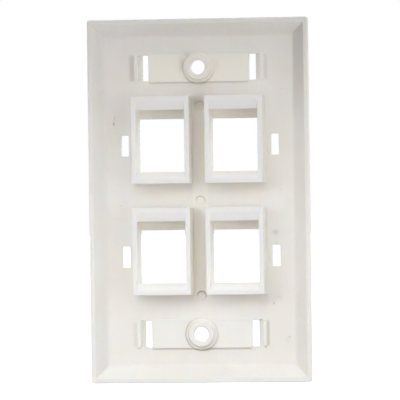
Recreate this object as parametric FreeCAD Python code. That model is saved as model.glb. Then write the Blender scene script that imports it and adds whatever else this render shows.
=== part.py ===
import FreeCAD, Part
import math
import os

# Keystone faceplate: single-gang wall plate for four keystone modules, moulded in one piece.
#
# Frame: millimetres, +Z up. The wall lies in the plane Y = 0 and the plate's front face
# looks towards -Y. The origin is the centre of the two-screw pattern, on the wall plane.
# Depths below are counted from the front face: depth 0 is the front face, depth 5.6 is the
# wall plane, and the module housings reach past it, into the wall box.

V = FreeCAD.Vector

# ---- driving dimensions (mm) ------------------------------------------------------------
PLATE_W = 69.5          # outline across, at the wall side
PLATE_H = 113.7         # outline along Z, at the wall side
PLATE_D = 5.6           # front face to wall plane
FLOOR_T = 2.2           # wall thickness of the flat field
SIDE_DEPTH = 3.1        # depth where the straight side turns into the front bevel
SIDE_DRAFT = 2.0        # degrees, the side narrows towards the front
BEVEL = 3.1             # width of the front bevel, 45 degrees
BEVEL_R = 1.6           # rounding of the bevel's two long edges
CORNER_R = 0.8          # upright corners of the outline
RIM_FLAT = 1.48         # width of the rim's flat back edge
SLOPE_RUN = 3.64        # sideways run of the slope from the rim down to the flat field
SLOPE_FLOOR_R = 1.6     # rounding where the slope meets the flat field
MITRE_R = 0.35          # rounding of the inside mitres
RIM_OUT_R = 0.45        # rounding of the rim's outer back edge

SCREW_PITCH = 83.3      # 3 9/32 in, the single-gang standard
HOLE_R = 2.2
BOSS_R = 3.95           # screw boss
BOSS_DEPTH = 5.2        # depth of the boss's end
BOSS_STEP_R = 4.95      # wider step at the boss's foot
BOSS_STEP_DEPTH = 3.7
CSK_R = 3.7             # countersink at the pocket's floor, 90 degrees
HOLE_CHAMFER = 0.45

PORT_PITCH_X = 22.975   # between the two columns
PORT_PITCH_Z = 34.745   # between the two rows
PORT_W = 15.07          # opening across
PORT_H = 16.5           # opening along Z
BOX_W = 18.17           # housing across, at its back end
BOX_UP = 15.29          # housing's top above the opening's centre
BOX_DOWN = 11.93        # housing's bottom below the opening's centre
BOX_DEPTH = 10.0        # depth of the housing's back end
BOX_DRAFT = 0.6         # degrees
CATCH_EDGE = 11.08      # upper catch's edge above the opening's centre
CATCH_FLAT = 1.55       # flat part of the top bar before its lead-in chamfer
CATCH_DROP = 0.6        # how far the lead-in falls
CATCH_FRONT = 7.5       # depth of the catch's latching face
CAVITY_UP = 13.6        # cavity's roof above the opening's centre
LIP_T = 0.9             # the front wall thins to this at the opening's upper edge
LIP_RUN = 3.9           # height of the ramp down to that lip
LOWER_FLAT = 1.4        # flat part of the bottom bar before its chamfer
LOWER_DROP = 0.8
CAVITY_DOWN = 10.3      # cavity's floor below the opening's centre
WALL_EDGE_R = 0.4       # rounding of the side walls' inner back edges

SIDE_SLOT_X = 23.6      # slots beside the housings
SIDE_SLOT_W = 2.4
SIDE_SLOT_H = 6.44
WEDGE_OUT = 0.4         # guide wedge on the housing's outer wall, beside the slot
WEDGE_DEPTH = 7.2
WEDGE_Z = (-4.6, 3.7)

POCKET_D = 1.5          # label pocket in the front face
LABEL_Z = 41.61         # centre of the label pocket and its slots
LABEL_H = 8.04
LABEL_SLOT_IN = 15.87   # slot from here
LABEL_SLOT_OUT = 17.80  # to here, which is also the pocket's end wall
PAD_H = 9.06            # raised pad on the back, behind the pocket
PAD_DEPTH = 2.72
LEDGE_OUT = 19.22       # latch ledge outboard of the slot, thinned from behind
LEDGE_DEPTH = 1.0
RIB_OUT = 20.36         # rib outboard of the ledge
RIB_DEPTH = 3.3
RIB_H = 8.12

EJECTOR_R = 1.46
EJECTOR_Z = (29.7, 0.0, -29.7)
EJECTOR_SINK = 0.40


# ---- helpers ----------------------------------------------------------------------------
def yd(depth):
    """Y of a depth counted from the front face."""
    return depth - PLATE_D


def block(x0, x1, d0, d1, z0, z1):
    return Part.makeBox(x1 - x0, d1 - d0, z1 - z0, V(x0, yd(d0), z0))


def rect(x0, x1, z0, z1, depth):
    y = yd(depth)
    return Part.makePolygon([V(x0, y, z0), V(x1, y, z0), V(x1, y, z1), V(x0, y, z1), V(x0, y, z0)])


def frustum(r0, r1):
    """Solid between two rectangles given as (x0, x1, z0, z1, depth)."""
    return Part.makeLoft([rect(*r0), rect(*r1)], True, True)


def disc(x, z, r, d0, d1):
    return Part.makeCylinder(r, d1 - d0, V(x, yd(d0), z), V(0, 1, 0))


def cone(x, z, r0, r1, d0, d1):
    return Part.makeCone(r0, r1, d1 - d0, V(x, yd(d0), z), V(0, 1, 0))


def prism_x(points, x0, x1):
    """Profile of (depth, z) points, run from x0 to x1."""
    pts = [V(x0, yd(d), z) for d, z in points]
    return Part.Face(Part.makePolygon(pts + pts[:1])).extrude(V(x1 - x0, 0, 0))


def prism_z(points, z0, z1):
    """Profile of (x, depth) points, run from z0 to z1."""
    pts = [V(x, yd(d), z0) for x, d in points]
    return Part.Face(Part.makePolygon(pts + pts[:1])).extrude(V(0, 0, z1 - z0))


def edges_where(shape, test):
    out = []
    for e in shape.Edges:
        b = e.BoundBox
        if test(b):
            out.append(e)
    return out


def flat_at(lo, hi, value, tol=0.02):
    return abs(lo - value) < tol and abs(hi - value) < tol


def rounded(shape, edges, r):
    """Fillet of the given edges; the build stops if the kernel cannot round them."""
    if not edges:
        raise RuntimeError("no edges to round")
    out = shape.makeFillet(r, edges)
    if not out.isValid() or not out.Solids:
        raise RuntimeError("fillet gave no valid solid")
    return out


def round_path(points, radii):
    """Profile of (inset, depth) points with rounded inner points: a list of Bezier segments,
    each a list of (inset, depth, weight)."""
    segs, last = [], points[0]
    for i in range(1, len(points) - 1):
        p, q, s = points[i - 1], points[i], points[i + 1]
        a = ((p[0] - q[0]), (p[1] - q[1]))
        b = ((s[0] - q[0]), (s[1] - q[1]))
        la, lb = math.hypot(*a), math.hypot(*b)
        a, b = (a[0] / la, a[1] / la), (b[0] / lb, b[1] / lb)
        half = math.acos(max(-1.0, min(1.0, a[0] * b[0] + a[1] * b[1]))) / 2
        t = radii[i - 1] / math.tan(half)
        start = (q[0] + a[0] * t, q[1] + a[1] * t)
        end = (q[0] + b[0] * t, q[1] + b[1] * t)
        segs.append([(*last, 1.0), (*start, 1.0)])
        segs.append([(*start, 1.0), (*q, math.sin(half)), (*end, 1.0)])
        last = end
    segs.append([(*last, 1.0), (*points[-1], 1.0)])
    return segs


def bezier_face(rows):
    """Face of a rational Bezier surface given as rows of (x, y, z, weight)."""
    n, m = len(rows), len(rows[0])
    surf = Part.BSplineSurface()
    surf.buildFromPolesMultsKnots([[V(*p[:3]) for p in row] for row in rows], [n, n], [m, m], [0.0, 1.0], [0.0, 1.0],
                                  False, False, n - 1, m - 1, [[p[3] for p in row] for row in rows])
    return surf.toShape()


def mitred(half_x, half_z, segs, r):
    """Solid whose sections are rectangles with corners of radius r. Each section lies at a
    depth and is inset from (half_x, half_z) as the profile says; its ends are flat caps."""
    faces = []
    arc = [(1.0, 0.0, 1.0), (1.0, 1.0, math.sqrt(0.5)), (0.0, 1.0, 1.0)]
    for seg in segs:
        for sx in (1, -1):
            for sz in (1, -1):
                faces.append(bezier_face([[(sx * (half_x - i - r + r * ax), yd(d), sz * (half_z - i - r + r * az), w * aw)
                                           for ax, az, aw in arc] for i, d, w in seg]))
        for s in (1, -1):
            strip_x = [[(s * (half_x - i), yd(d), e * (half_z - i - r), w) for e in (-1, 1)] for i, d, w in seg]
            strip_z = [[(e * (half_x - i - r), yd(d), s * (half_z - i), w) for e in (-1, 1)] for i, d, w in seg]
            for strip in (strip_x, strip_z):
                if len(seg) == 2:
                    loop = [V(*strip[0][0][:3]), V(*strip[0][1][:3]), V(*strip[1][1][:3]), V(*strip[1][0][:3])]
                    faces.append(Part.Face(Part.makePolygon(loop + loop[:1])))
                else:
                    faces.append(bezier_face(strip))
    for i, d in (segs[0][0][:2], segs[-1][-1][:2]):
        y, a, b = yd(d), half_x - i, half_z - i
        k = r * (1 - math.sqrt(0.5))
        edges = []
        for sx, sz in ((1, 1), (-1, 1), (-1, -1), (1, -1)):
            p = V(sx * a, y, sz * (b - r)), V(sx * (a - k), y, sz * (b - k)), V(sx * (a - r), y, sz * b)
            p = p if sx * sz > 0 else p[::-1]
            if edges:
                edges.append(Part.LineSegment(edges[-1].EndPoint, p[0]))
            edges.append(Part.Arc(*p))
        edges.append(Part.LineSegment(edges[-1].EndPoint, edges[0].StartPoint))
        faces.append(Part.Face(Part.Wire([e.toShape() for e in edges])))
    shell = Part.Compound(faces)
    shell.sewShape()
    shell = Part.Shell(shell.Shells[0].Faces) if shell.Shells else Part.Shell(faces)
    solid = Part.Solid(shell)
    if solid.Volume < 0:
        solid.reverse()
    if not solid.isValid() or not solid.isClosed():
        raise RuntimeError("mitred shell isn't closed")
    return solid


def soft_block(x0, x1, d0, d1, z0, z1, r, back=True, upright=True):
    """Block with rounded back edges and corners."""
    b = block(x0, x1, d0, d1, z0, z1)
    es = []
    if upright:
        es += edges_where(b, lambda q: q.YLength > 0.5 * (d1 - d0))
    if back:
        es += edges_where(b, lambda q: flat_at(q.YMin, q.YMax, yd(d1)))
    return rounded(b, es, r)


# ---- the tray: outside ------------------------------------------------------------------
hw, hh = PLATE_W / 2, PLATE_H / 2
inset = (PLATE_D - SIDE_DEPTH) * math.tan(math.radians(SIDE_DRAFT))
outside = round_path(
    [(0.8, PLATE_D), (0.0, PLATE_D), (inset, SIDE_DEPTH), (inset + BEVEL, 0.0), (inset + BEVEL + 1.6, 0.0)],
    [RIM_OUT_R, BEVEL_R, BEVEL_R],
)
# the two flat ends of the profile lie in the caps
body = mitred(hw, hh, outside[1:-1], CORNER_R)

# ---- the tray: inside -------------------------------------------------------------------
iw, ih = hw - RIM_FLAT, hh - RIM_FLAT
grow = SLOPE_RUN / (PLATE_D - FLOOR_T)
top = 0.8
inside = round_path([(-grow * top, PLATE_D + top), (SLOPE_RUN, FLOOR_T), (SLOPE_RUN + 2.0, FLOOR_T)], [SLOPE_FLOOR_R])
body = body.cut(mitred(iw, ih, inside[:-1], MITRE_R))
print("tray", body.isValid(), round(body.Volume, 1))

# ---- additions on the back --------------------------------------------------------------
adds = []
dr = (BOX_DEPTH - FLOOR_T) * math.tan(math.radians(BOX_DRAFT))
root = FLOOR_T - 0.9
dr_root = (BOX_DEPTH - root) * math.tan(math.radians(BOX_DRAFT))
ports = [(sx * PORT_PITCH_X / 2, sz * PORT_PITCH_Z / 2) for sz in (1, -1) for sx in (-1, 1)]
for cx, cz in ports:
    x0, x1 = cx - BOX_W / 2, cx + BOX_W / 2
    z0, z1 = cz - BOX_DOWN, cz + BOX_UP
    b = frustum((x0 - dr_root, x1 + dr_root, z0 - dr_root, z1 + dr_root, root), (x0, x1, z0, z1, BOX_DEPTH))
    b = rounded(b, edges_where(b, lambda q: q.YLength > 1.0), 0.3)
    b = rounded(b, edges_where(b, lambda q: flat_at(q.YMin, q.YMax, yd(BOX_DEPTH))), 0.22)
    adds.append(b)
    # guide wedge on the wall that looks at the side slot
    s = 1 if cx > 0 else -1
    xo = cx + s * BOX_W / 2
    xi, xw = xo - s * 0.6, xo + s * WEDGE_OUT
    z_lo, z_hi = cz + WEDGE_Z[0], cz + WEDGE_Z[1]
    run = 1.3
    p = prism_z([(xi, root), (xw, root), (xw, WEDGE_DEPTH), (xo, BOX_DEPTH - 0.3), (xi, BOX_DEPTH - 0.3)], z_lo, z_hi)
    # taper the two ends
    for zc, d in ((z_lo, 1), (z_hi, -1)):
        tri = [V(xo - s * 0.02, yd(root) - 1, zc - d * 0.01), V(xw + s * 0.3, yd(root) - 1, zc - d * 0.01),
               V(xw + s * 0.3, yd(root) - 1, zc + d * run * 1.7), V(xo - s * 0.02, yd(root) - 1, zc)]
        p = p.cut(Part.Face(Part.makePolygon(tri + tri[:1])).extrude(V(0, 14, 0)))
    adds.append(p)

for sz in (1, -1):
    zc = sz * LABEL_Z
    adds.append(soft_block(-LABEL_SLOT_IN, LABEL_SLOT_IN, FLOOR_T - 0.6, PAD_DEPTH, zc - PAD_H / 2, zc + PAD_H / 2, 0.2))
    for sx in (1, -1):
        xa, xb = sorted((sx * LEDGE_OUT, sx * RIB_OUT))
        adds.append(soft_block(xa, xb, FLOOR_T - 0.6, RIB_DEPTH, zc - RIB_H / 2, zc + RIB_H / 2, 0.28))
    z = sz * SCREW_PITCH / 2
    step = disc(0, z, BOSS_STEP_R, 1.4, BOSS_STEP_DEPTH)
    step = rounded(step, edges_where(step, lambda q: flat_at(q.YMin, q.YMax, yd(BOSS_STEP_DEPTH))), 0.25)
    boss = disc(0, z, BOSS_R, 1.4, BOSS_DEPTH)
    boss = rounded(boss, edges_where(boss, lambda q: flat_at(q.YMin, q.YMax, yd(BOSS_DEPTH))), 0.35)
    adds += [step, boss]

body = body.fuse(adds)
body = body.removeSplitter()
print("with additions", body.isValid(), round(body.Volume, 1), len(body.Solids))

# ---- cuts -------------------------------------------------------------------------------
cuts = []
for cx, cz in ports:
    hx = PORT_W / 2
    zt, zb = cz + PORT_H / 2, cz - PORT_H / 2
    # straight opening, front to back
    cuts.append(block(cx - hx, cx + hx, -1.0, BOX_DEPTH + 1, zb, zt))
    # inside of the housing, with its upper and lower catch cavities
    zc_up, zc_dn = cz + CAVITY_UP, cz - CAVITY_DOWN
    z_edge = cz + CATCH_EDGE
    z_flat = cz + BOX_UP - CATCH_FLAT
    z_low_flat = cz - BOX_DOWN + LOWER_FLAT
    back = BOX_DEPTH + 1.0
    up_d = BOX_DEPTH - CATCH_DROP
    lo_d = BOX_DEPTH - LOWER_DROP
    profile = [
        (FLOOR_T, zc_dn), (CATCH_FRONT, zc_dn), (CATCH_FRONT, zb - 0.04), (lo_d, zb - 0.04),
        (BOX_DEPTH, z_low_flat), (back, z_low_flat), (back, z_flat), (BOX_DEPTH, z_flat),
        (up_d, z_edge), (CATCH_FRONT, z_edge), (CATCH_FRONT, zc_up), (FLOOR_T, zc_up),
        (FLOOR_T, zt + LIP_RUN), (LIP_T, zt), (LIP_T, zt - 1.0), (FLOOR_T, zt - 1.0 - LIP_RUN),
    ]
    cuts.append(prism_x(profile, cx - hx, cx + hx))
    # slot beside the housing
    s = 1 if cx > 0 else -1
    cuts.append(block(s * SIDE_SLOT_X - SIDE_SLOT_W / 2, s * SIDE_SLOT_X + SIDE_SLOT_W / 2, -1, 4,
                      cz - SIDE_SLOT_H / 2, cz + SIDE_SLOT_H / 2))
for sz in (1, -1):
    zc = sz * LABEL_Z
    z0, z1 = zc - LABEL_H / 2, zc + LABEL_H / 2
    cuts.append(block(-LABEL_SLOT_OUT, LABEL_SLOT_OUT, -1, POCKET_D, z0, z1))
    for sx in (1, -1):
        xa, xb = sorted((sx * LABEL_SLOT_IN, sx * LABEL_SLOT_OUT))
        cuts.append(block(xa, xb, -1, 4, z0, z1))
        xa, xb = sorted((sx * (LABEL_SLOT_OUT - 0.3), sx * LEDGE_OUT))
        cuts.append(block(xa, xb, LEDGE_DEPTH, 4, z0, z1))
    z = sz * SCREW_PITCH / 2
    cuts.append(disc(0, z, HOLE_R, -1, BOSS_DEPTH + 1))
    cuts.append(cone(0, z, CSK_R + 0.5, HOLE_R, POCKET_D - 0.5, POCKET_D + CSK_R - HOLE_R))
    cuts.append(cone(0, z, HOLE_R, HOLE_R + HOLE_CHAMFER + 0.5, BOSS_DEPTH - HOLE_CHAMFER, BOSS_DEPTH + 0.5))
for z in EJECTOR_Z:
    cuts.append(disc(0, z, EJECTOR_R, FLOOR_T - EJECTOR_SINK, FLOOR_T + 3))
body = body.cut(cuts)
body = body.removeSplitter()
print("after cuts", body.isValid(), round(body.Volume, 1), len(body.Solids))

# ---- small roundings --------------------------------------------------------------------
def is_port_edge(q):
    """Inner back edges of a housing's side walls."""
    if not flat_at(q.YMin, q.YMax, yd(BOX_DEPTH)) or q.ZLength < 5:
        return False
    return any(flat_at(q.XMin, q.XMax, cx + s * PORT_W / 2) for cx, _ in ports for s in (1, -1))

body = rounded(body, edges_where(body, is_port_edge), WALL_EDGE_R)
# front mouths of the ports and the pockets
def is_mouth(q):
    if not flat_at(q.YMin, q.YMax, yd(0.0)):
        return False
    return abs(q.XMin) < hw - 6 and abs(q.XMax) < hw - 6 and abs(q.ZMin) < 50 and abs(q.ZMax) < 50

body = rounded(body, edges_where(body, is_mouth), 0.25)
print("final", body.isValid(), round(body.Volume, 1), len(body.Solids), [round(v, 2) for v in (body.BoundBox.XLength, body.BoundBox.YLength, body.BoundBox.ZLength)])

# ---- write ------------------------------------------------------------------------------
os.makedirs("parts", exist_ok=True)
solid = body.Solids[0]
solid.exportStep("parts/faceplate.step")
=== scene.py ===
import math

import bpy
from mathutils import Matrix, Vector


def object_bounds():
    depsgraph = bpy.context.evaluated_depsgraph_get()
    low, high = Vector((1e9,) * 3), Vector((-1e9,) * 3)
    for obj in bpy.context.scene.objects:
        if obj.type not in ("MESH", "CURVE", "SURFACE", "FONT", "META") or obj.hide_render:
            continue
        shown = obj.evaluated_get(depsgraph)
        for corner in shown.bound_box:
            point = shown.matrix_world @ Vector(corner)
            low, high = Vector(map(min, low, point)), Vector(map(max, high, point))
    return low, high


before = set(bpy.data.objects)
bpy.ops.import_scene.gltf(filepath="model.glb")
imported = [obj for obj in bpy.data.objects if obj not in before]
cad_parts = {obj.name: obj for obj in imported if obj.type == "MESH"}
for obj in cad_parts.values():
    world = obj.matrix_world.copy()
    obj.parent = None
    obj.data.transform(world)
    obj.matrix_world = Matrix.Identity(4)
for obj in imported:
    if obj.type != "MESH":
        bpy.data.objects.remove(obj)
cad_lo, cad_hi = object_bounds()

scene = bpy.context.scene
scene.view_settings.view_transform = "Standard"
scene.view_settings.look = "None"
scene.view_settings.exposure = 0.0
scene.view_settings.gamma = 1.0

# ---- camera -----------------------------------------------------------------------------
# The plate is seen from its wall side, 7.3 degrees off its axis, through a long lens.
YAW, ROLL, DIST = math.radians(7.30), math.radians(0.755), 1.380
FOCAL_PX = 3.195 * 1380.0
AIM = Vector((0.0, -0.0056, 0.0))

right = Vector((-math.cos(YAW), -math.sin(YAW), 0.0))
back = Vector((-math.sin(YAW), math.cos(YAW), 0.0))
up = Vector((0.0, 0.0, 1.0))
cam_right = right * math.cos(ROLL) - up * math.sin(ROLL)
cam_up = right * math.sin(ROLL) + up * math.cos(ROLL)

cam_data = bpy.data.cameras.new("camera")
cam_data.sensor_width = 36.0
cam_data.lens = FOCAL_PX / 400.0 * 36.0
cam_data.shift_x = -1.407 / 400.0
cam_data.shift_y = 0.622 / 400.0
cam_data.clip_start, cam_data.clip_end = 0.05, 60.0
cam = bpy.data.objects.new("camera", cam_data)
m = Matrix((cam_right, cam_up, back)).transposed().to_4x4()
m.translation = AIM + back * DIST
cam.matrix_world = m
scene.collection.objects.link(cam)
scene.camera = cam


# ---- node helpers -----------------------------------------------------------------------
class Graph:
    """A node tree built with short calls. Lengths inside it are in millimetres."""

    def __init__(self, tree):
        self.nt = tree
        self.nt.nodes.clear()

    def node(self, kind):
        return self.nt.nodes.new(kind)

    def put(self, socket, value):
        if isinstance(value, bpy.types.NodeSocket):
            self.nt.links.new(value, socket)
        else:
            socket.default_value = value

    def math(self, op, a, b=0.0, c=0.0, clamp=False):
        n = self.node("ShaderNodeMath")
        n.operation, n.use_clamp = op, clamp
        for s, v in zip(n.inputs, (a, b, c)):
            self.put(s, v)
        return n.outputs[0]

    def vec(self, op, a, b=(0.0, 0.0, 0.0)):
        n = self.node("ShaderNodeVectorMath")
        n.operation = op
        self.put(n.inputs[0], a)
        self.put(n.inputs[1], b)
        return n.outputs["Value"] if op in ("LENGTH", "DOT_PRODUCT", "DISTANCE") else n.outputs["Vector"]

    def ramp(self, value, lo, hi, out_lo=0.0, out_hi=1.0):
        n = self.node("ShaderNodeMapRange")
        n.interpolation_type = "SMOOTHSTEP"
        self.put(n.inputs["Value"], value)
        n.inputs["From Min"].default_value, n.inputs["From Max"].default_value = lo, hi
        n.inputs["To Min"].default_value, n.inputs["To Max"].default_value = out_lo, out_hi
        return n.outputs["Result"]

    def noise(self, pos, scale, detail=2.0, rough=0.5, dist=0.0):
        """Noise in 0..1 whose features are about 1/scale mm across."""
        n = self.node("ShaderNodeTexNoise")
        self.put(n.inputs["Vector"], pos)
        n.inputs["Scale"].default_value = scale
        n.inputs["Detail"].default_value = detail
        n.inputs["Roughness"].default_value = rough
        n.inputs["Distortion"].default_value = dist
        return n.outputs["Fac"]

    def mix(self, fac, a, b, blend="MIX"):
        n = self.node("ShaderNodeMix")
        n.data_type, n.blend_type = "RGBA", blend
        self.put(n.inputs[0], fac)
        self.put(n.inputs[6], a)
        self.put(n.inputs[7], b)
        return n.outputs[2]

    def scaled(self, pos, factors):
        return self.vec("MULTIPLY", pos, factors)

    def box(self, x, z, cx, cz, hx, hz, fx, fz):
        """1 inside a rectangle about (cx, cz), fading to 0 over fx and fz at its sides."""
        ax = self.math("ABSOLUTE", self.math("SUBTRACT", x, cx))
        az = self.math("ABSOLUTE", self.math("SUBTRACT", z, cz))
        return self.math("MULTIPLY", self.ramp(ax, hx - fx, hx, 1.0, 0.0), self.ramp(az, hz - fz, hz, 1.0, 0.0))

    def spot(self, xz, cx, cz, rx, rz, turn=0.0, soft=1.0):
        """1 inside an ellipse at (cx, cz), fading to 0 at its edge."""
        n = self.node("ShaderNodeMapping")
        n.vector_type = "TEXTURE"
        self.put(n.inputs["Vector"], xz)
        n.inputs["Location"].default_value = (cx, 0.0, cz)
        n.inputs["Rotation"].default_value = (0.0, math.radians(turn), 0.0)
        n.inputs["Scale"].default_value = (rx, 1.0, rz)
        return self.ramp(self.vec("LENGTH", n.outputs["Vector"]), 1.0 - soft, 1.0, 1.0, 0.0)


def new_material(name):
    mat = bpy.data.materials.new(name)
    mat.use_nodes = True
    return mat, Graph(mat.node_tree)


# ---- plastic ----------------------------------------------------------------------------
ALBEDO = (0.930, 0.918, 0.900)
PAINTED_GLOW = (0.982, 0.942, 0.868)            # where light passes through thin or close walls
# strength of the painted light on the housings' end faces
ENDS_PAINTED_LIGHT = 0.80
SSS_RADIUS = (1.00, 0.80, 0.55)
SSS_SCALE = 0.0015


def tone(color, k, warm=0.0):
    """The colour scaled by k, and yellowed by warm."""
    return (color[0] * k, color[1] * k * (1.0 - 0.25 * warm), color[2] * k * (1.0 - warm), 1.0)


def plastic():
    """White moulded plastic, a little see-through, matt-satin behind and glossier in front."""
    mat, g = new_material("white_plastic")
    out = g.node("ShaderNodeOutputMaterial")
    p = g.node("ShaderNodeBsdfPrincipled")
    g.put(out.inputs["Surface"], p.outputs["BSDF"])

    coord = g.node("ShaderNodeTexCoord").outputs["Object"]
    pos = g.vec("MULTIPLY", coord, (1000.0, 1000.0, 1000.0))
    split = g.node("ShaderNodeSeparateXYZ")
    g.put(split.inputs[0], pos)
    x, y, z = split.outputs
    xz = g.vec("MULTIPLY", pos, (1.0, 0.0, 1.0))
    depth = g.math("ADD", y, 5.6)                   # counted from the front face
    behind = g.ramp(depth, 1.2, 1.9)                # 1 on the wall side, 0 on the front

    # resin colour: broad clouds, streaks of flow away from the middle, fine mottling
    cloud = g.noise(pos, 0.045, 3.0, 0.55, 0.6)
    streak = g.noise(g.scaled(pos, (1.0, 1.0, 0.16)), 0.42, 3.0, 0.6, 0.8)
    mottle = g.noise(pos, 0.34, 3.0, 0.6)
    fine = g.noise(pos, 1.7, 2.0, 0.6)
    color = g.mix(g.ramp(cloud, 0.33, 0.67), tone(ALBEDO, 0.992, 0.022), tone(ALBEDO, 1.006, -0.008))
    veil = g.math("MULTIPLY_ADD", behind, 0.65, 0.35)
    color = g.mix(g.math("MULTIPLY", g.ramp(streak, 0.30, 0.72, 0.0, 0.55), veil), color, g.mix(1.0, color, (0.978, 0.974, 0.955, 1.0), "MULTIPLY"))
    pink = g.mix(1.0, color, (1.003, 0.993, 0.992, 1.0), "MULTIPLY")
    green = g.mix(1.0, color, (0.993, 1.000, 0.985, 1.0), "MULTIPLY")
    color = g.mix(g.ramp(mottle, 0.36, 0.64), green, pink)
    color = g.mix(g.ramp(fine, 0.35, 0.75, 0.0, 0.5), color, g.mix(1.0, color, (0.986, 0.984, 0.976, 1.0), "MULTIPLY"))

    # specks of burnt resin and dust, few and small
    vor = g.node("ShaderNodeTexVoronoi")
    g.put(vor.inputs["Vector"], pos)
    vor.inputs["Scale"].default_value = 0.17
    vor.inputs["Randomness"].default_value = 1.0
    pick = g.node("ShaderNodeSeparateColor")
    g.put(pick.inputs[0], vor.outputs["Color"])
    chosen = g.math("GREATER_THAN", pick.outputs[0], 0.72)
    size = g.math("MULTIPLY_ADD", pick.outputs[1], 0.030, 0.014)
    speck = g.math("MULTIPLY", g.ramp(g.math("DIVIDE", vor.outputs["Distance"], size), 0.55, 1.0, 1.0, 0.0), chosen)
    speck = g.math("MULTIPLY", speck, g.math("MULTIPLY_ADD", pick.outputs[2], 0.45, 0.20))
    color = g.mix(speck, color, (0.34, 0.29, 0.22, 1.0))

    # marks on the wall side: stains, a drip, a dent and scuffs, each at its own place, and one line of painted shade
    stains = [
        # x, z, half width, half height, turn, softness, strength, colour
        (-23.41, -10.15, 1.55, 1.35, 20, 0.95, 0.34, (0.50, 0.46, 0.38, 1.0)),
        (-23.50, -13.80, 1.10, 3.60, 0, 0.95, 0.07, (0.62, 0.48, 0.42, 1.0)),
        (27.08, 24.35, 0.50, 0.90, 8, 0.70, 0.50, (0.42, 0.43, 0.30, 1.0)),
        (26.78, 26.00, 0.20, 1.25, -4, 0.80, 0.34, (0.44, 0.44, 0.34, 1.0)),
        (-22.68, -32.25, 0.38, 0.75, -28, 0.80, 0.42, (0.42, 0.40, 0.34, 1.0)),
        (-24.45, -30.48, 1.60, 0.42, -14, 0.90, 0.22, (0.46, 0.44, 0.38, 1.0)),
        (-27.40, -42.84, 0.62, 0.55, 0, 0.90, 0.34, (0.45, 0.43, 0.36, 1.0)),
        (-26.95, -43.70, 1.50, 1.20, 35, 0.95, 0.10, (0.50, 0.48, 0.40, 1.0)),
        (-25.76, 34.78, 0.34, 0.34, 0, 0.80, 0.24, (0.40, 0.38, 0.30, 1.0)),
        (-25.65, 2.98, 0.34, 0.34, 0, 0.80, 0.24, (0.40, 0.38, 0.30, 1.0)),
        (25.13, -1.35, 0.34, 0.34, 0, 0.80, 0.28, (0.38, 0.36, 0.28, 1.0)),
        (30.67, 34.45, 1.30, 0.80, 30, 0.95, 0.12, (0.52, 0.50, 0.42, 1.0)),
        # painted shade: a thin dark line along the foot of the slope at positive x
        (29.80, 50.20, 0.20, 2.90, 0, 0.80, 0.14, (0.50, 0.49, 0.42, 1.0)),
    ]
    for cx, cz, rx, rz, turn, soft, strength, stain in stains:
        fac = g.math("MULTIPLY", g.spot(xz, cx, cz, rx, rz, turn, soft), g.math("MULTIPLY", behind, strength))
        color = g.mix(fac, color, stain)

    # painted light: paler housing end faces; painted warm glow, as of light through thin walls, in the
    # channels between the housings, their upper cavities, the pads behind the label pockets and the ledges
    painted_light_ends = g.ramp(depth, 9.2, 9.9)
    color = g.mix(g.math("MULTIPLY", painted_light_ends, ENDS_PAINTED_LIGHT), color, (1.0, 0.985, 0.950, 1.0))
    inner = g.math("MULTIPLY", behind, g.ramp(depth, 8.9, 9.7, 1.0, 0.0))
    painted_channel_glow = g.math("MULTIPLY", g.box(x, z, 0.0, 0.0, 2.75, 32.0, 0.7, 6.0), inner)
    color = g.mix(g.math("MULTIPLY", painted_channel_glow, 0.85), color, (*PAINTED_GLOW, 1.0))
    for cx in (-11.4875, 11.4875):
        for cz in (-17.3725, 17.3725):
            painted_hollow_glow = g.box(x, z, cx, cz + 10.9, 7.9, 2.9, 0.6, 0.6)
            painted_hollow_glow = g.math("MULTIPLY", painted_hollow_glow, g.ramp(depth, 7.3, 7.8, 1.0, 0.0))
            painted_hollow_glow = g.math("MULTIPLY", painted_hollow_glow, g.ramp(depth, 0.35, 0.8))
            color = g.mix(painted_hollow_glow, color, (0.992, 0.957, 0.884, 1.0))
    # painted warm glow on the pads behind the upper and lower label pockets
    painted_pad_glow = g.math("MULTIPLY", g.box(x, z, 0.0, 41.61, 16.0, 4.6, 0.5, 0.5), g.math("MULTIPLY", behind, 0.92))
    color = g.mix(painted_pad_glow, color, (1.0, 0.940, 0.878, 1.0))
    painted_pad_glow = g.math("MULTIPLY", g.box(x, z, 0.0, -41.61, 16.0, 4.6, 0.5, 0.5), g.math("MULTIPLY", behind, 0.6))
    color = g.mix(painted_pad_glow, color, (0.985, 0.945, 0.910, 1.0))
    for cx in (-18.5, 18.5):
        for cz in (-41.61, 41.61):
            # painted warm glow on the ledges by the label slots
            painted_ledge_glow = g.math("MULTIPLY", g.box(x, z, cx, cz, 0.75, 4.3, 0.2, 0.4), g.math("MULTIPLY", behind, 0.8))
            color = g.mix(painted_ledge_glow, color, (0.990, 0.950, 0.900, 1.0))
            # painted light: paler ribs beside the label slots
            painted_rib_light = g.box(x, z, cx * 1.0703, cz, 0.60, 4.6, 0.2, 0.4)
            color = g.mix(g.math("MULTIPLY", painted_rib_light, g.math("MULTIPLY", behind, 0.5)), color, (1.0, 0.990, 0.950, 1.0))

    # painted highlight: paler on the flat back edge that touches the wall
    out_x = g.ramp(g.math("ABSOLUTE", x), 33.15, 33.40)
    out_z = g.ramp(g.math("ABSOLUTE", z), 55.25, 55.50)
    painted_edge_highlight = g.math("MULTIPLY", g.math("MAXIMUM", out_x, out_z), g.ramp(depth, 5.2, 5.5))
    color = g.mix(g.math("MULTIPLY", painted_edge_highlight, 0.4), color, (1.0, 0.980, 0.940, 1.0))
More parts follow.
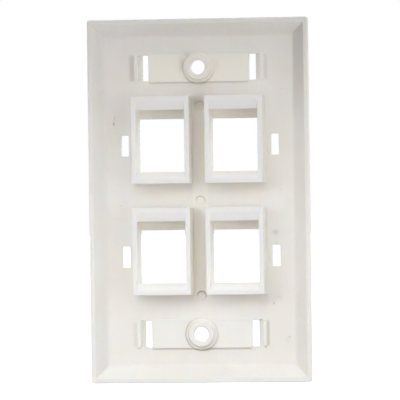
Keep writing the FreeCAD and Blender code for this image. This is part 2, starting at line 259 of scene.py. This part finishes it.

    # painted shade in the creases: at the feet of ribs, pads and bosses, along the rim and at the head of the
    # channel between the housings; painted shade on the upper corner slope; painted shadow arcs round marks and bosses
    painted_shade = [
        # x, z, half width, half height, fade across, fade along, strength
        (21.35, 41.61, 1.10, 4.6, 1.2, 1.2, 0.28),
        (-21.05, 41.61, 0.80, 4.4, 0.9, 1.2, 0.18),
        (21.30, -41.61, 0.90, 4.4, 0.9, 1.2, 0.10),
        (-20.85, -41.61, 0.60, 4.4, 0.5, 1.2, 0.26),
        (19.05, -41.61, 0.35, 4.0, 0.3, 0.6, 0.22),
        (19.90, -45.95, 0.75, 0.42, 0.5, 0.3, 0.36),
        (18.60, -37.40, 0.80, 0.30, 0.4, 0.2, 0.34),
        (-18.55, -37.40, 0.70, 0.38, 0.4, 0.3, 0.48),
        (-19.90, -45.85, 0.50, 0.42, 0.4, 0.3, 0.42),
        (0.0, 36.92, 15.9, 0.42, 0.6, 0.3, 0.26),
        (0.0, -46.30, 15.9, 0.46, 0.6, 0.3, 0.34),
        (-34.1, 50.0, 0.9, 16.0, 0.3, 14.0, 0.10),
        (0.0, 31.0, 2.8, 3.6, 1.4, 3.0, 0.22),
        (3.6, 45.9, 1.5, 1.3, 1.3, 1.2, 0.16),
        (5.4, 42.6, 1.1, 3.4, 1.0, 3.0, 0.20),
        (-5.6, 42.2, 1.0, 3.0, 0.9, 3.0, 0.08),
    ]
    for cx, cz, hx, hz, fx, fz, strength in painted_shade:
        fac = g.math("MULTIPLY", g.box(x, z, cx, cz, hx, hz, fx, fz), g.math("MULTIPLY", behind, strength))
        color = g.mix(fac, color, (0.40, 0.37, 0.31, 1.0))
    # painted shade on the slope at negative x near the plate's upper corner, up to the corner mitre
    mitre = g.ramp(g.math("SUBTRACT", g.math("MULTIPLY", x, -1.0), z), -22.3, -21.9)
    painted_slope_shade = g.math("MULTIPLY", g.box(x, z, -31.45, 52.0, 1.90, 34.0, 0.3, 32.0), g.math("MULTIPLY", mitre, behind))
    color = g.mix(g.math("MULTIPLY", painted_slope_shade, 0.24), color, (0.40, 0.37, 0.31, 1.0))
    # painted shadow arcs in the steps round the ejector marks and the boss feet, darkest on the side the shadow falls
    painted_shade_rings = [
        # x, z, radius, half width, side that is darkest (up or down), strength
        (0.0, 29.7, 1.40, 0.30, 1, 0.42),
        (0.0, 0.0, 1.42, 0.34, 1, 0.46),
        (0.0, -29.7, 1.40, 0.38, 1, 0.72),
        (0.0, 41.65, 4.95, 0.34, -1, 0.34),
        (0.0, -41.65, 4.12, 0.30, -1, 0.36),
        (0.0, -41.65, 5.08, 0.38, -1, 0.48),
    ]
    for cx, cz, radius, half, side, strength in painted_shade_rings:
        away = g.vec("SUBTRACT", xz, (cx, 0.0, cz))
        painted_ring_band = g.ramp(g.math("ABSOLUTE", g.math("SUBTRACT", g.vec("LENGTH", away), radius)), 0.0, half, 1.0, 0.0)
        tall = g.vec("DOT_PRODUCT", away, (-0.25 * side, 0.0, side / radius))
        painted_ring_band = g.math("MULTIPLY", painted_ring_band, g.ramp(tall, -0.9, 0.8, 0.12, 1.0))
        color = g.mix(g.math("MULTIPLY", painted_ring_band, g.math("MULTIPLY", behind, strength)), color, (0.34, 0.31, 0.25, 1.0))
    g.put(p.inputs["Base Color"], color)

    # gloss: satin behind, brighter in front, cloudy, with rubbed patches
    rub = g.noise(g.scaled(pos, (1.0, 1.0, 0.45)), 0.12, 4.0, 0.65, 0.5)
    rough = g.math("MULTIPLY_ADD", behind, 0.11, 0.27)
    rough = g.math("ADD", rough, g.math("MULTIPLY_ADD", rub, 0.16, -0.08))
    rough = g.math("ADD", rough, g.math("MULTIPLY_ADD", fine, 0.08, -0.04))
    g.put(p.inputs["Roughness"], rough)

    # relief: orange peel, a fine grain, faint cutter lines behind, the drip and the dent
    peel = g.noise(pos, 0.95, 3.0, 0.5)
    grain = g.noise(pos, 7.0, 2.0, 0.6)
    lines = g.node("ShaderNodeTexWave")
    lines.wave_type, lines.bands_direction = "BANDS", "Z"
    g.put(lines.inputs["Vector"], pos)
    lines.inputs["Scale"].default_value = 0.55
    lines.inputs["Distortion"].default_value = 1.4
    lines.inputs["Detail"].default_value = 2.0
    lines.inputs["Detail Scale"].default_value = 0.6
    height = g.math("MULTIPLY", peel, 0.010)
    height = g.math("MULTIPLY_ADD", grain, 0.0016, height)
    height = g.math("MULTIPLY_ADD", g.math("MULTIPLY", lines.outputs["Fac"], behind), 0.0012, height)
    drip = g.math("MAXIMUM", g.spot(xz, 27.10, 24.40, 0.60, 1.05, 8, 1.0), g.spot(xz, 27.10, 26.0, 0.34, 1.9, -4, 1.0))
    height = g.math("MULTIPLY_ADD", g.math("MULTIPLY", drip, behind), 0.16, height)
    scuff = g.math("MAXIMUM", g.spot(xz, -22.72, -32.2, 0.40, 0.90, -28, 0.9), g.spot(xz, -27.4, -42.9, 0.8, 0.6, 20, 0.9))
    height = g.math("MULTIPLY_ADD", g.math("MULTIPLY", scuff, behind), -0.06, height)
    bump = g.node("ShaderNodeBump")
    bump.inputs["Strength"].default_value = 1.0
    bump.inputs["Distance"].default_value = 0.001
    g.put(bump.inputs["Height"], height)
    g.put(p.inputs["Normal"], bump.outputs["Normal"])

    p.inputs["IOR"].default_value = 1.5
    p.subsurface_method = "RANDOM_WALK"
    p.inputs["Subsurface Weight"].default_value = 0.5
    p.inputs["Subsurface Radius"].default_value = SSS_RADIUS
    p.inputs["Subsurface Scale"].default_value = SSS_SCALE
    p.inputs["Subsurface Anisotropy"].default_value = 0.0
    return mat


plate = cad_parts["faceplate"]
plate.data.materials.clear()
plate.data.materials.append(plastic())


# ---- stage ------------------------------------------------------------------------------
# A plain white floor under the plate. It shows in the picture and throws no light or shade.
def floor_material():
    mat, g = new_material("pale_floor")
    out = g.node("ShaderNodeOutputMaterial")
    p = g.node("ShaderNodeBsdfPrincipled")
    g.put(out.inputs["Surface"], p.outputs["BSDF"])
    p.inputs["Base Color"].default_value = (0.9, 0.9, 0.9, 1.0)
    p.inputs["Roughness"].default_value = 0.9
    p.inputs["Specular IOR Level"].default_value = 0.0
    p.inputs["Emission Color"].default_value = (1.0, 1.0, 1.0, 1.0)
    p.inputs["Emission Strength"].default_value = 1.0
    return mat


me = bpy.data.meshes.new("floor")
HALF = 6.0
me.from_pydata([(-HALF, -HALF, cad_lo.z), (HALF, -HALF, cad_lo.z), (HALF, HALF, cad_lo.z), (-HALF, HALF, cad_lo.z)],
               [], [(0, 1, 2, 3)])
floor = bpy.data.objects.new("floor", me)
floor.data.materials.append(floor_material())
scene.collection.objects.link(floor)
floor.visible_diffuse = floor.visible_glossy = floor.visible_transmission = floor.visible_shadow = False

# ---- light ------------------------------------------------------------------------------
# A light tent: white all round to the eye. Its wall behind the plate glows through the
# plastic, and soft lamps on the camera's side light the moulding from above and the sides.
BACK_LIGHT = 0.72
BACK_UP = 0.50
BACK_SIDE = -0.20
FRONT_KEY = 0.85

world = bpy.data.worlds.new("studio")
scene.world = world
world.use_nodes = True
w = Graph(world.node_tree)
w_out = w.node("ShaderNodeOutputWorld")
glow = w.node("ShaderNodeBackground")
glow.inputs["Color"].default_value = (1.0, 1.0, 1.0, 1.0)
white = w.node("ShaderNodeBackground")
white.inputs["Color"].default_value = (1.0, 1.0, 1.0, 1.0)
white.inputs["Strength"].default_value = 1.0
w_dir = w.node("ShaderNodeTexCoord").outputs["Generated"]
w_back = w.ramp(w.vec("DOT_PRODUCT", w_dir, (0.0, -1.0, 0.0)), 0.0, 0.35)
w_tilt = w.math("ADD", w.vec("DOT_PRODUCT", w_dir, (BACK_SIDE, 0.0, BACK_UP)), 1.0)
w.put(glow.inputs["Strength"], w.math("MULTIPLY", w.math("MULTIPLY", w_back, w_tilt), BACK_LIGHT))
w_mix = w.node("ShaderNodeMixShader")
w.put(w_mix.inputs[0], w.node("ShaderNodeLightPath").outputs["Is Camera Ray"])
w.put(w_mix.inputs[1], glow.outputs[0])
w.put(w_mix.inputs[2], white.outputs[0])
w.put(w_out.inputs["Surface"], w_mix.outputs[0])


def direction(tilt, turn):
    """Towards a lamp: tilt from the plate's back axis, turn from photo right towards up."""
    a, b = math.radians(tilt), math.radians(turn)
    return Vector((-math.sin(a) * math.cos(b), math.cos(a), math.sin(a) * math.sin(b)))


def lamp(name, kind, towards, energy, at=None, size=0.2, spread=180.0, angle=40.0):
    data = bpy.data.lights.new(name, kind)
    data.energy = energy
    if kind == "SUN":
        data.angle = math.radians(angle)
    else:
        data.shape, data.size, data.spread = "DISK", size, math.radians(spread)
    obj = bpy.data.objects.new(name, data)
    obj.location = at if at is not None else towards
    obj.rotation_mode = "QUATERNION"
    obj.rotation_quaternion = towards.to_track_quat("Z", "Y")
    obj.visible_camera = False
    scene.collection.objects.link(obj)
    return obj


# a soft lamp on the front's side, for the sheen and the fall-off on the front face
front_dir = Vector((-0.52, -0.62, 0.58)).normalized()
front_key = lamp("front_key", "AREA", front_dir, FRONT_KEY, front_dir * 0.55, size=0.30)

# LIGHTS
LEVEL = 1.016
# far soft lamps: tilt, turn, strength
FAR = [
    (35, 0, 0.2086),
    (35, 135, 0.0798),
    (65, 45, 0.1217),
    (65, 90, 0.1656),
    (65, 135, 0.1476),
    (65, 315, 0.1899),
    (88, 0, 0.0537),
    (88, 45, 0.1353),
    (88, 90, 0.2200),
    (88, 225, 0.1689),
    (88, 270, 0.4000),
    (88, 315, 0.2766),
]
# near soft lamps: tilt, turn, distance, diameter, power in mW
NEAR = [
    (15, 270, 0.28, 0.14, 38.74),
    (45, 0, 0.28, 0.14, 43.59),
    (45, 180, 0.28, 0.14, 21.02),
    (45, 225, 0.28, 0.14, 31.51),
    (45, 270, 0.28, 0.14, 22.77),
    (45, 315, 0.28, 0.14, 25.92),
    (68, 0, 0.12, 0.07, 6.13),
    (68, 180, 0.12, 0.07, 9.87),
]
# gridded softboxes: tilt, turn, aim x, aim z, distance, diameter, spread, power in mW
GRID = [
    (10, 90, 0.000, -0.100, 0.60, 0.22, 40, 7.65),
    (35, 45, 0.000, -0.100, 0.60, 0.22, 40, 3.83),
    (35, 90, 0.000, -0.100, 0.60, 0.22, 40, 29.41),
    (35, 135, 0.000, -0.100, 0.60, 0.22, 40, 31.67),
    (50, 0, 0.000, -0.090, 0.60, 0.22, 40, 15.67),
    (50, 180, 0.000, -0.090, 0.60, 0.22, 40, 7.03),
    (65, 90, 0.000, -0.120, 0.60, 0.22, 40, 1.50),
    (40, 160, 0.000, -0.050, 0.50, 0.12, 28, 6.66),
    (45, 45, 0.000, 0.030, 0.50, 0.12, 30, 1.63),
    (50, 20, 0.000, 0.010, 0.50, 0.12, 30, 2.72),
    (55, 90, 0.000, -0.045, 0.40, 0.12, 40, 4.15),
    (61, 0, 0.031, 0.045, 0.40, 0.15, 34, 1.27),
    (75, 180, -0.020, -0.040, 0.40, 0.10, 28, 0.81),
]
for tilt, turn, energy in FAR:
    lamp("far_%03d_%03d" % (tilt, turn), "SUN", direction(tilt, turn), energy * LEVEL).data.color = (1.01, 1.0, 0.985)
for tilt, turn, dist, size, power in NEAR:
    d = direction(tilt, turn)
    lamp("near_%03d_%03d" % (tilt, turn), "AREA", d, power * LEVEL / 1000.0, d * dist, size).data.color = (1.01, 1.0, 0.985)
for tilt, turn, ax, az, dist, size, spread, power in GRID:
    d = direction(tilt, turn)
    lamp("grid_%03d_%03d" % (tilt, turn), "AREA", d, power * LEVEL / 1000.0, Vector((ax, 0.0, az)) + d * dist, size, spread).data.color = (0.995, 1.0, 1.025)
